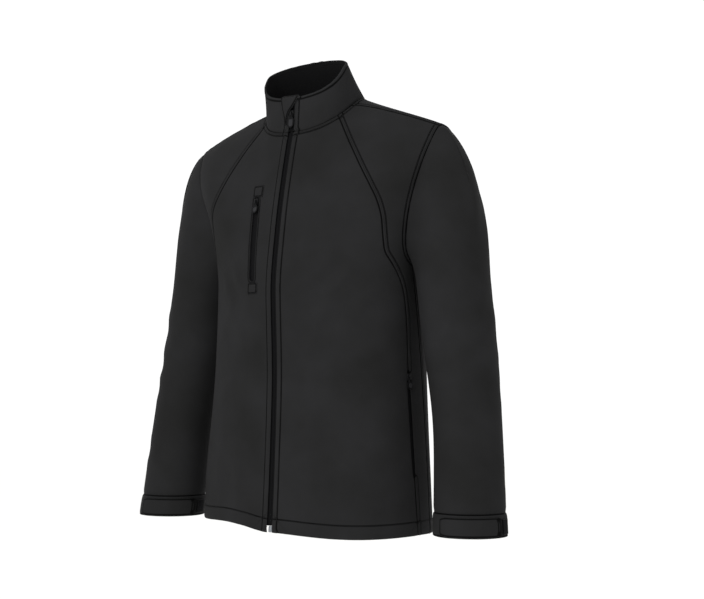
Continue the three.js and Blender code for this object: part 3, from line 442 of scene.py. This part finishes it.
def press_creases(sheets, lines):
    """Presses the troughs in, with a low ridge along each side."""
    for sheet in sheets:
        points, normals = points_of(sheet), normals_of(sheet)
        moved = np.zeros(len(points))
        for line, half, deep in lines:
            low = line[:, :3].min(0) - CREASE_REACH * half
            high = line[:, :3].max(0) + CREASE_REACH * half
            near = np.flatnonzero(np.all((points > low) & (points < high), axis=1))
            if not len(near):
                continue
            gap = np.linalg.norm(points[near, None, :] - line[None, :, :3], axis=2)
            nearest = gap.argmin(1)
            far = gap[np.arange(len(near)), nearest] / half
            share = line[nearest, 3]
            ridge = RIDGE_HIGH * np.exp(-((far - RIDGE_AT) / RIDGE_HALF) ** 2)
            moved[near] += deep * share * (ridge - np.exp(-far ** 2))
        points += normals * moved[:, None]
        sheet.data.vertices.foreach_set("co", points.astype(np.float32).ravel())
        sheet.data.update()


# Panels: two fronts, two yoke and side panels and the back, joined by princess seams that run from
# the neck round the chest to the hem. They are sewn right sides together and pressed open, and a
# row of stitches holds the turned edge down on one side.
# piece, its node's flat width and length in metres and the flat area of the cut in square metres
PANELS = [
    ("front_left", (0.262, 0.668), 0.133), ("front_right", (0.262, 0.668), 0.130),
    ("side_left", (0.165, 0.70), 0.039), ("side_right", (0.165, 0.70), 0.039),
    ("back", (0.53, 0.715), 0.349),
]
SLEEVES = [("sleeve_left", (0.44, 0.62), 0.1715), ("sleeve_right", (0.44, 0.62), 0.1715)]
COLLAR = [("collar", (0.46, 0.088), 0.0276)]
PANEL_LEVELS = 3
PUCKER_DEEP = 0.56 * MM
PUCKER_REACH = 7 * MM
PUCKER_WAVE = 11 * MM


def edge_vertices(bm):
    return [vertex for vertex in bm.verts if vertex.is_boundary]


def kd_of(points):
    tree = KDTree(len(points))
    for i, point in enumerate(points):
        tree.insert(point, i)
    tree.balance()
    return tree


class Sheet:
    """A cloth piece while it is being made: its object, edges and surface."""

    def __init__(self, name, levels, sharp=SHARP_RIM):
        self.rows = []
        self.piece = new_object(name, outer_face(name, sharp), SOFTSHELL, FLEECE)
        soften(self.piece, levels)

    def read(self):
        """Reads the sheet's edge runs and surface, once its creases are in."""
        self.bm = bmesh.new()
        self.bm.from_mesh(self.piece.data)
        self.edge_tree = kd_of([vertex.co.copy() for vertex in edge_vertices(self.bm)])
        self.surface = BVHTree.FromBMesh(self.bm)

    def runs(self, test):
        """The stretches of the sheet's edge that pass a test, each as a list of points."""
        edges = {e for e in self.bm.edges if e.is_boundary and all(test(v.co) for v in e.verts)}
        by_vertex = {}
        for e in edges:
            for v in e.verts:
                by_vertex.setdefault(v, []).append(e)
        found = []
        while edges:
            ends = [v for e in edges for v in e.verts if sum(x in edges for x in by_vertex[v]) == 1]
            at = ends[0] if ends else next(iter(edges)).verts[0]
            run = [at.co.copy()]
            while True:
                onward = [e for e in by_vertex[at] if e in edges]
                if not onward:
                    break
                edges.remove(onward[0])
                at = onward[0].other_vert(at)
                run.append(at.co.copy())
            found.append(run)
        return [run for run in found if len(run) > 3]

    def row(self, run, distance):
        """A line on the sheet beside a stretch of its edge: points and normals."""
        placed = []
        for turn in (1, -1):
            line, strayed = [], 0
            for i, point in enumerate(run):
                tangent = (run[min(i + 1, len(run) - 1)] - run[max(i - 1, 0)]).normalized()
                normal = self.surface.find_nearest(point)[1]
                aim = point + tangent.cross(normal) * distance * turn
                hit, normal, _, off = self.surface.find_nearest(aim)
                strayed += off
                line.append((hit, normal))
            placed.append((strayed, line))
        return min(placed, key=lambda each: each[0])[1]


SHEETS = {}
for name, _, _ in PANELS + SLEEVES + COLLAR:
    SHEETS[name] = Sheet(name, PANEL_LEVELS)

# Zip tapes: smooth black tape whose coil is woven in on the back, so that only two flat ridges and
# the fine line between them show. The same tape, narrower, closes the pockets.
TAPE_THICK = 0.7 * MM
TAPE_LEVELS = 2
TAPES = [
    ("zip_tape_left", (0.0135, 0.662)), ("zip_tape_right", (0.0135, 0.662)),
    ("chest_zip", (0.021, 0.15)), ("side_zip_left", (0.018, 0.176)), ("side_zip_right", (0.018, 0.176)),
]
for name, _ in TAPES:
    SHEETS[name] = Sheet(name, TAPE_LEVELS)

# Cuffs: a bonded band turned double round each sleeve's end, and on it a stitched tab of the same
# cloth that fastens on a small square of loop felt.
SMALL = [
    ("cuff_left", (0.355, 0.034), None), ("cuff_right", (0.355, 0.034), None),
    ("cuff_tab_left", (0.105, 0.029), None), ("cuff_tab_right", (0.105, 0.029), None),
    ("cuff_loop_left", (0.0175, 0.022), None), ("cuff_loop_right", (0.0175, 0.022), None),
    ("chin_guard", (0.036, 0.066), 0.0013),
    ("chest_end_top", (0.0215, 0.019), None), ("chest_end_foot", (0.0215, 0.018), None),
]
SMALL_LEVELS = 2
ROUND_LEVELS = 3  # for the cuff bands and the loop felt
SMALL_SHARP = math.radians(80)
for name, _, _ in SMALL:
    is_round = name.startswith(("cuff_l", "cuff_r"))
    SHEETS[name] = Sheet(name, ROUND_LEVELS if is_round else SMALL_LEVELS, sharp=SMALL_SHARP)

CREASED = [sheet.piece for sheet in SHEETS.values()]
press_creases(CREASED, crease_lines(CREASED))


# the pairs of sheets that are sewn together edge to edge, where the seam draws both edges in
SEAMS = [
    ("front_left", "side_left"), ("front_right", "side_right"),
    ("side_left", "sleeve_left"), ("side_right", "sleeve_right"),
    ("side_left", "back"), ("side_right", "back"), ("back", "sleeve_left"), ("back", "sleeve_right"),
    ("front_left", "collar"), ("front_right", "collar"), ("side_left", "collar"),
    ("side_right", "collar"), ("back", "collar"),
    ("sleeve_left", "cuff_left"), ("sleeve_right", "cuff_right"),
]
SEAM_CLOSE = 4 * MM  # edges that lie nearer than this are drawn together
SAME_PLACE = 0.2 * MM  # two edge points nearer than this are taken as one


def close_seams():
    """Brings the two edges of every seam together on the line between them."""
    for pair in SEAMS:
        moves = []
        for name, other in (pair, pair[::-1]):
            tree, mesh = SHEETS[other].edge_tree, SHEETS[name].piece.data
            for vertex in edge_vertices(SHEETS[name].bm):
                (a, _, gap), (b, _, _) = tree.find_n(vertex.co, 2)
                if gap < SEAM_CLOSE:
                    share = 0
                    if (b - a).length > SAME_PLACE:
                        share = min(max(intersect_point_line(vertex.co, a, b)[1], 0), 1)
                    moves.append((mesh.vertices[vertex.index], (vertex.co + a.lerp(b, share)) / 2))
        for vertex, place in moves:
            vertex.co = place
        for name in pair:
            SHEETS[name].piece.data.update()
            SHEETS[name].read()


def pucker_edges(sheet):
    """Lets the cloth ripple a little beside its seams."""
    points, normals = points_of(sheet.piece), normals_of(sheet.piece)
    for i, point in enumerate(points):
        p = Vector(point)
        gap = sheet.edge_tree.find(p)[2]
        if gap < PUCKER_REACH:
            wave = noise.noise(p / PUCKER_WAVE) * math.sin(math.pi * gap / PUCKER_REACH)
            points[i] += normals[i] * wave * PUCKER_DEEP
    sheet.piece.data.vertices.foreach_set("co", points.astype(np.float32).ravel())
    sheet.piece.data.update()


for sheet in SHEETS.values():
    sheet.read()
close_seams()
for name, _, _ in PANELS + SLEEVES + COLLAR + SMALL[:2]:
    pucker_edges(SHEETS[name])
    SHEETS[name].read()


# Top stitching: black polyester thread, about eight stitches to the inch, in rows beside the seams:
# 6 to 7 mm from them on the body, 8.8 mm from the front zip's edges, 5.5 mm below the collar's top
# and 21 mm above the hem.
STITCH_PITCH = 3.1 * MM
STITCH_LONG = 2.3 * MM
STITCH_HALF = 0.3 * MM
STITCH_FLAT = 0.8  # its height as a share of its width
THREAD_COLOUR = "#151516"
SEAM_NEAR = 1.6 * MM  # how near the other sheet's edge a seam's points lie,
ARM_NEAR = 4 * MM  # at the armhole
TAB_NEAR = 5 * MM  # and round the loop felt under a cuff tab
ZIP_NEAR = 7.5 * MM
HEM_BELOW = -0.66
CUFF_END_BELOW = -0.67
COLLAR_TOP_FROM = 0.03  # how far the collar's top is from every edge at its foot
WINDOW_ACROSS = (-0.075, -0.03)
WINDOW_HEIGHT = (-0.31, -0.14)


def beside(name, near=SEAM_NEAR):
    """A test for edge points that lie at another sheet's edge."""
    tree = SHEETS[name].edge_tree
    return lambda co: tree.find(co)[2] < near


def all_round(co):
    return True


def near_zip(co):
    return abs(co.x) < ZIP_NEAR and co.y < 0


def at_hem(name):
    """A test for the free edge at the foot: not at the zip and not in a seam."""
    others = [beside(other) for other, _, _ in PANELS if other != name]
    return lambda co: co.z < HEM_BELOW and not near_zip(co) and not any(other(co) for other in others)


def at_cuff_end(co):
    return co.z < CUFF_END_BELOW


def at_collar_top(co):
    foot = [SHEETS[name].edge_tree.find(co)[2] for name in ("back", "front_left", "front_right")]
    return not near_zip(co) and min(foot) > COLLAR_TOP_FROM


def at_chest_window(co):
    return WINDOW_ACROSS[0] < co.x < WINDOW_ACROSS[1] and WINDOW_HEIGHT[0] < co.z < WINDOW_HEIGHT[1]


# sheet, which part of its edge, and the row's distance from it in mm
ROWS = [
    ("side_left", beside("front_left"), 6.8), ("side_right", beside("front_right"), 6.8),
    ("side_left", beside("sleeve_left", ARM_NEAR), 6.5),
    ("side_right", beside("sleeve_right", ARM_NEAR), 6.5),
    ("side_left", beside("back"), 6.5), ("side_right", beside("back"), 6.5),
    ("back", beside("sleeve_left", ARM_NEAR), 6.5), ("back", beside("sleeve_right", ARM_NEAR), 6.5),
    ("front_left", near_zip, 8.8), ("front_right", near_zip, 8.8), ("collar", near_zip, 8.8),
    ("front_left", at_hem("front_left"), 21), ("front_right", at_hem("front_right"), 21),
    ("side_left", at_hem("side_left"), 21), ("side_right", at_hem("side_right"), 21),
    ("back", at_hem("back"), 21),
    ("front_left", beside("collar"), 6), ("front_right", beside("collar"), 6),
    ("side_left", beside("collar"), 6), ("side_right", beside("collar"), 6), ("back", beside("collar"), 6),
    ("front_right", at_chest_window, 2.2), ("collar", at_collar_top, 5.5),
    ("cuff_left", at_cuff_end, 3), ("cuff_right", at_cuff_end, 3),
    ("cuff_tab_left", all_round, 2.2), ("cuff_tab_right", all_round, 2.2),
    ("cuff_tab_left", beside("cuff_loop_left", TAB_NEAR), 6.5),
    ("cuff_tab_right", beside("cuff_loop_right", TAB_NEAR), 6.5),
    ("cuff_tab_left", beside("cuff_loop_left", TAB_NEAR), 9.5),
    ("cuff_tab_right", beside("cuff_loop_right", TAB_NEAR), 9.5),
    ("cuff_loop_left", all_round, 1.6), ("cuff_loop_right", all_round, 1.6),
    ("chin_guard", all_round, 2.2), ("chest_end_top", all_round, 1.7), ("chest_end_foot", all_round, 1.7),
]


def sewing_thread():
    """Twisted polyester thread: a little glossier than the cloth, with its ply as a fine bump."""
    material, tree = new_material("polyester_thread")
    place = add_node(tree, "ShaderNodeTexCoord")
    ply = add_node(tree, "ShaderNodeTexNoise", {"Scale": 1 / (0.4 * MM), "Detail": 1},
                   {"Vector": place.outputs["Object"]})
    bump = add_node(tree, "ShaderNodeBump", {"Strength": 0.4, "Distance": 0.05 * MM},
                    {"Height": ply.outputs["Fac"]})
    close_material(tree, add_node(tree, "ShaderNodeBsdfPrincipled", {
        "Base Color": linear(THREAD_COLOUR), "Roughness": 0.6, "Specular IOR Level": 0.2},
        {"Normal": bump.outputs["Normal"]}))
    return material


THREAD = sewing_thread()
NO_STEP = 1e-9  # two points nearer than this give a line no direction


def even_points(line, pitch):
    """Places along a line at an even pitch: point, normal and direction."""
    places, left = [], pitch / 2
    for (a, normal, *_), (b, *_) in zip(line, line[1:]):
        step = (b - a).length
        if step < NO_STEP:
            continue
        while left <= step:
            places.append((a.lerp(b, left / step), normal, (b - a) / step))
            left += pitch
        left -= step
    return places


def repeated(name, shape, places, material):
    """One mesh of a small shape at many places. The shape lies along X with its top along Z."""
    form = bpy.data.meshes.new(name)
    shape.to_mesh(form)
    shape.free()
    base = np.empty(len(form.vertices) * 3, np.float32)
    form.vertices.foreach_get("co", base)
    base = base.reshape(-1, 3)
    faces = [tuple(face.vertices) for face in form.polygons]
    points, polygons = [], []
    for point, normal, along in places:
        out = normal.normalized()
        side = out.cross(along).normalized()
        ahead = side.cross(out)
        turn = np.array([ahead, side, out], float)
        start = len(points) * len(base)
        points.append(base @ turn + np.array(point))
        polygons.extend(tuple(start + i for i in face) for face in faces)
    mesh = bpy.data.meshes.new(name)
    mesh.from_pydata(np.concatenate(points).tolist(), [], polygons)
    mesh.materials.append(material)
    mesh.shade_smooth()
    bpy.data.meshes.remove(form)
    made = bpy.data.objects.new(name + "_look", mesh)
    bpy.context.scene.collection.objects.link(made)
    return made


def stitch_shape():
    """One stitch's thread, as a small flattened bead that lies along X."""
    bm = bmesh.new()
    bmesh.ops.create_uvsphere(bm, u_segments=4, v_segments=4, radius=1,
                              matrix=Matrix.Rotation(math.pi / 2, 4, "Y"))
    bmesh.ops.scale(bm, vec=(STITCH_LONG / 2, STITCH_HALF, STITCH_HALF * STITCH_FLAT), verts=bm.verts)
    return bm


def finish_garment(piece):
    """Lets a piece ride on the garment."""
    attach(piece, "garment")


stitch_places = []
for name, test, distance in ROWS:
    sheet = SHEETS[name]
    for run in sheet.runs(test):
        sheet.rows.append((kd_of(run), distance))
        stitch_places += even_points(sheet.row(run, distance * MM), STITCH_PITCH)
finish_garment(repeated("top_stitching", stitch_shape(), stitch_places, THREAD))

for first, second in SEAMS:
    for name, other in ((first, second), (second, first)):
        for run in SHEETS[name].runs(beside(other)):
            SHEETS[name].rows.append((kd_of(run), 0))

BAND_RISE = 0.55 * MM  # what the turned edge adds between a seam and its row of stitches
ROW_PULL = 0.35 * MM  # how deep the stitches pull the cloth in
PULL_REACH = 2.2  # in mm, as are the next two
BAND_FROM = 4  # only a row further than this from its seam holds a turned edge down
NO_ROW = 50  # the mark of a point far from every row


def sew_rows(sheet):
    """Raises the turned edges, pulls the cloth in along each row of stitches, and writes each
    point's distance in mm from the nearest row."""
    points, normals = points_of(sheet.piece), normals_of(sheet.piece)
    marks = np.full(len(points), NO_ROW, np.float32)
    for tree, distance in sheet.rows:
        for i, point in enumerate(points):
            gap = tree.find(point)[2] / MM
            off = gap - distance
            if abs(off) < abs(marks[i]):
                marks[i] = off
            lift = 0
            if gap < distance and distance > BAND_FROM:
                lift = BAND_RISE * math.sin(math.pi * gap / distance)
            if abs(off) < PULL_REACH:
                lift -= ROW_PULL * (1 - abs(off) / PULL_REACH) ** 2
            points[i] += normals[i] * lift
    sheet.piece.data.vertices.foreach_set("co", points.astype(np.float32).ravel())
    sheet.piece.data.update()
    layer = sheet.piece.data.attributes.new("stitch_mm", "FLOAT", "POINT")
    layer.data.foreach_set("value", marks)


def torso_line(z):
    return np.zeros_like(z), np.zeros_like(z)


ARM_TOP = -0.15
ARM_LONG = 0.53
ARM_ACROSS = 0.215
ARM_LEAN = 0.091  # how much further out the sleeve's centre is at the wrist
ARM_BACK = 0.016
ARM_FORWARD = 0.04  # and how much further forward


def sleeve_line(side):
    """The sleeve's centre line, which leans outwards and forwards on its way down."""
    def line(z):
        down = np.clip((ARM_TOP - z) / ARM_LONG, 0, 1)
        return side * (ARM_ACROSS + ARM_LEAN * down), ARM_BACK - ARM_FORWARD * down
    return line


LOOP_COLOUR = "#08080a"


def loop_felt():
    """Loop side of a touch fastener: a dense mat of small curls, no gloss."""
    material, tree = new_material("nylon_loop_felt")
    place = add_node(tree, "ShaderNodeTexCoord")
    curls = add_node(tree, "ShaderNodeTexVoronoi", {"Scale": 1 / (0.9 * MM)},
                     {"Vector": place.outputs["Object"]})
    bump = add_node(tree, "ShaderNodeBump", {"Strength": 0.9, "Distance": 0.5 * MM},
                    {"Height": curls.outputs["Distance"]})
    close_material(tree, add_node(tree, "ShaderNodeBsdfPrincipled", {
        "Base Color": linear(LOOP_COLOUR), "Roughness": 0.95, "Specular IOR Level": 0.1},
        {"Normal": bump.outputs["Normal"]}))
    return material


LOOP_FELT = loop_felt()
NECK_TUCK = 2.4 * MM  # how far the collar's foot reaches inside the panels, as its seam allowance does
NECK_INWARDS = 0.5  # its way inwards as a share of its way down
NECK_NEAR = 3.5 * MM  # how near a point of the collar lies to their edges to go with it


def tuck_collar():
    """Draws the collar's lower edge a little down and inwards, so that the neck seam shows no gap."""
    collar = SHEETS["collar"].piece
    points, normals = points_of(collar), normals_of(collar)
    edges = [SHEETS[name].edge_tree for name, _, _ in PANELS]
    gaps = np.array([min(edge.find(point)[2] for edge in edges) for point in points])
    near = np.clip(1 - gaps / NECK_NEAR, 0, 1)[:, None]
    points -= near * NECK_TUCK * (NECK_INWARDS * normals + np.array([0, 0, 1]))
    collar.data.vertices.foreach_set("co", points.astype(np.float32).ravel())
    collar.data.update()


# the pieces that aren't one layer of the shell cloth
THICK = {"collar": 2.6 * MM, "cuff_left": 2.2 * MM, "cuff_right": 2.2 * MM, "chin_guard": 1.3 * MM,
         "cuff_loop_left": 1.1 * MM, "cuff_loop_right": 1.1 * MM,
         "chest_end_top": 0.7 * MM, "chest_end_foot": 0.7 * MM}
for name, flat, area in PANELS + SLEEVES + COLLAR + SMALL:
    sheet = SHEETS[name]
    sew_rows(sheet)
    if name == "collar":
        tuck_collar()
    on_arm = name.startswith(("sleeve", "cuff"))
    count_threads(sheet.piece, sleeve_line(1 if name.endswith("left") else -1) if on_arm else torso_line)
    if name.startswith("cuff_loop"):
        sheet.piece.data.materials[0] = LOOP_FELT
    thick = THICK.get(name, CLOTH_THICK)
    thicken(sheet.piece, thick, bevel=min(EDGE_ROUND, thick / 3))
    finish_garment(sheet.piece)
    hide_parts(name)


TAPE_COLOUR = "#0c0c0d"
TAPE_BEVEL = 0.1 * MM
TAPE_RIB = 2 * math.pi * 0.8 * MM
WAVE_PERIOD = 0.314  # a wave texture of scale 1 repeats at this distance


def zip_tape_cloth():
    """Smooth filament tape: fine ribs across, a soft gloss."""
    material, tree = new_material("filament_zip_tape")
    place = add_node(tree, "ShaderNodeTexCoord")
    ribs = add_node(tree, "ShaderNodeTexWave", {"Scale": WAVE_PERIOD / TAPE_RIB, "Distortion": 0.4},
                    {"Vector": place.outputs["Object"]}, bands_direction="Z")
    bump = add_node(tree, "ShaderNodeBump", {"Strength": 0.35, "Distance": 0.1 * MM},
                    {"Height": ribs.outputs["Fac"]})
    close_material(tree, add_node(tree, "ShaderNodeBsdfPrincipled", {
        "Base Color": linear(TAPE_COLOUR), "Roughness": 0.7, "Specular IOR Level": 0.03},
        {"Normal": bump.outputs["Normal"]}))
    return material


TAPE_CLOTH = zip_tape_cloth()
for name, flat in TAPES:
    piece = SHEETS[name].piece
    piece.data.materials[0] = piece.data.materials[1] = TAPE_CLOTH
    thicken(piece, TAPE_THICK, bevel=TAPE_BEVEL)
    finish_garment(piece)
    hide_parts(name)

# The zip's coil: a nylon spiral sewn to the back of both tapes, seen only from inside.
COIL_PITCH = 1.8 * MM
COIL_DEEP = 1.7 * MM
COIL_HALVES = (2.3 * MM, 0.45 * MM, 0.55 * MM)  # half sizes of one turn: across, along and deep
TAPE_INNER = 0.8 * MM  # how near the middle the tape's inner edge lies


def build_coil():
    """A row of coil turns down the middle, on the back of the tapes."""
    run = max(SHEETS["zip_tape_left"].runs(lambda co: abs(co.x) < TAPE_INNER), key=len)
    line = []
    for point in run:
        normal = SHEETS["zip_tape_left"].surface.find_nearest(point)[1]
        line.append((Vector((0, point.y, point.z)) - normal * COIL_DEEP, normal))
    turns = [(point, normal, normal.cross(along)) for point, normal, along in even_points(line, COIL_PITCH)]
    shape = bmesh.new()
    bmesh.ops.create_uvsphere(shape, u_segments=8, v_segments=6, radius=1,
                              matrix=Matrix.Rotation(math.pi / 2, 4, "Y"))
    bmesh.ops.scale(shape, vec=COIL_HALVES, verts=shape.verts)
    coil = repeated("zip_coil", shape, turns, TAPE_CLOTH)
    finish_garment(coil)
    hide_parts("zip_coil")


build_coil()

# Zip hardware: die-cast sliders painted black, moulded pulls that hang from them by a bar, each a
# dark rim round a thinner grey web, and a bright nickel box that the front zip's pin ends in.
PULLS = ["front_pull", "chest_pull", "side_left_pull", "side_right_pull"]  # each a body of its own
SLIDERS = ["front_slider", "chest_slider", "side_left_slider", "side_right_slider"]
HARD_BEVEL = 0.22 * MM
HARD_SHARP = math.radians(30)
HARD_SMOOTH = math.radians(40)
HARD_FLAT = math.radians(1)  # faces that meet at less than this become one
WEB_HALF = 0.6 * MM
WEB_LEVEL = 0.95  # how level with the largest face, as a cosine, the web's faces are


def plain_material(name, colour, roughness, wear, metallic=0.0, specular=0.5):
    """A smooth moulded or metal surface whose gloss wanders a little."""
    material, tree = new_material(name)
    place = add_node(tree, "ShaderNodeTexCoord")
    drift = add_node(tree, "ShaderNodeTexNoise", {"Scale": 1 / (3 * MM), "Detail": 3},
                     {"Vector": place.outputs["Object"]})
    gloss = add_node(tree, "ShaderNodeMapRange", {"To Min": roughness - wear, "To Max": roughness + wear},
                     {"Value": drift.outputs["Fac"]})
    close_material(tree, add_node(tree, "ShaderNodeBsdfPrincipled", {
        "Base Color": linear(colour), "Metallic": metallic, "Specular IOR Level": specular},
        {"Roughness": gloss.outputs["Result"]}))
    return material


PULL_RIM = plain_material("moulded_pull_rim", "#0a0a0b", 0.5, specular=0.06, wear=0.06)
PULL_WEB = plain_material("moulded_pull_web", "#222224", 0.6, specular=0.08, wear=0.06)
SLIDER_PAINT = plain_material("black_zip_paint", "#101011", 0.5, specular=0.08, wear=0.08)
NICKEL = plain_material("polished_nickel", "#84878b", 0.3, metallic=1.0, wear=0.06)


def hard_piece(node, body, material, web=None):
    """A hard piece with its edges rounded, on its own body."""
    bm = node_mesh(node)
    if web:
        largest = max(bm.faces, key=lambda face: face.calc_area())
        normal = largest.normal.copy()
        depths = [normal.dot(vertex.co) for vertex in bm.verts]
        middle = (min(depths) + max(depths)) / 2
        for face in bm.faces:
            flat = abs(face.normal.dot(normal)) > WEB_LEVEL
            if flat and abs(normal.dot(face.calc_center_median()) - middle) < WEB_HALF:
                face.material_index = 1
    bmesh.ops.dissolve_limit(bm, angle_limit=HARD_FLAT, verts=bm.verts, edges=bm.edges,
                             delimit={"MATERIAL"})
    edges = [edge for edge in bm.edges if edge.is_manifold and edge.calc_face_angle(0) > HARD_SHARP]
    bmesh.ops.bevel(bm, geom=edges, offset=HARD_BEVEL, segments=2, profile=0.5, affect="EDGES",
                    clamp_overlap=True, material=-1)
    piece = new_object(node, bm, *([material, web] if web else [material]))
    piece.data.shade_smooth()
    piece.data.set_sharp_from_angle(angle=HARD_SMOOTH)
    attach(piece, body)
    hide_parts(node)


for node in PULLS:
    hard_piece(node, node, PULL_RIM, PULL_WEB)
for node in SLIDERS:
    hard_piece(node, "garment", SLIDER_PAINT)
hard_piece("zip_box", "garment", NICKEL)
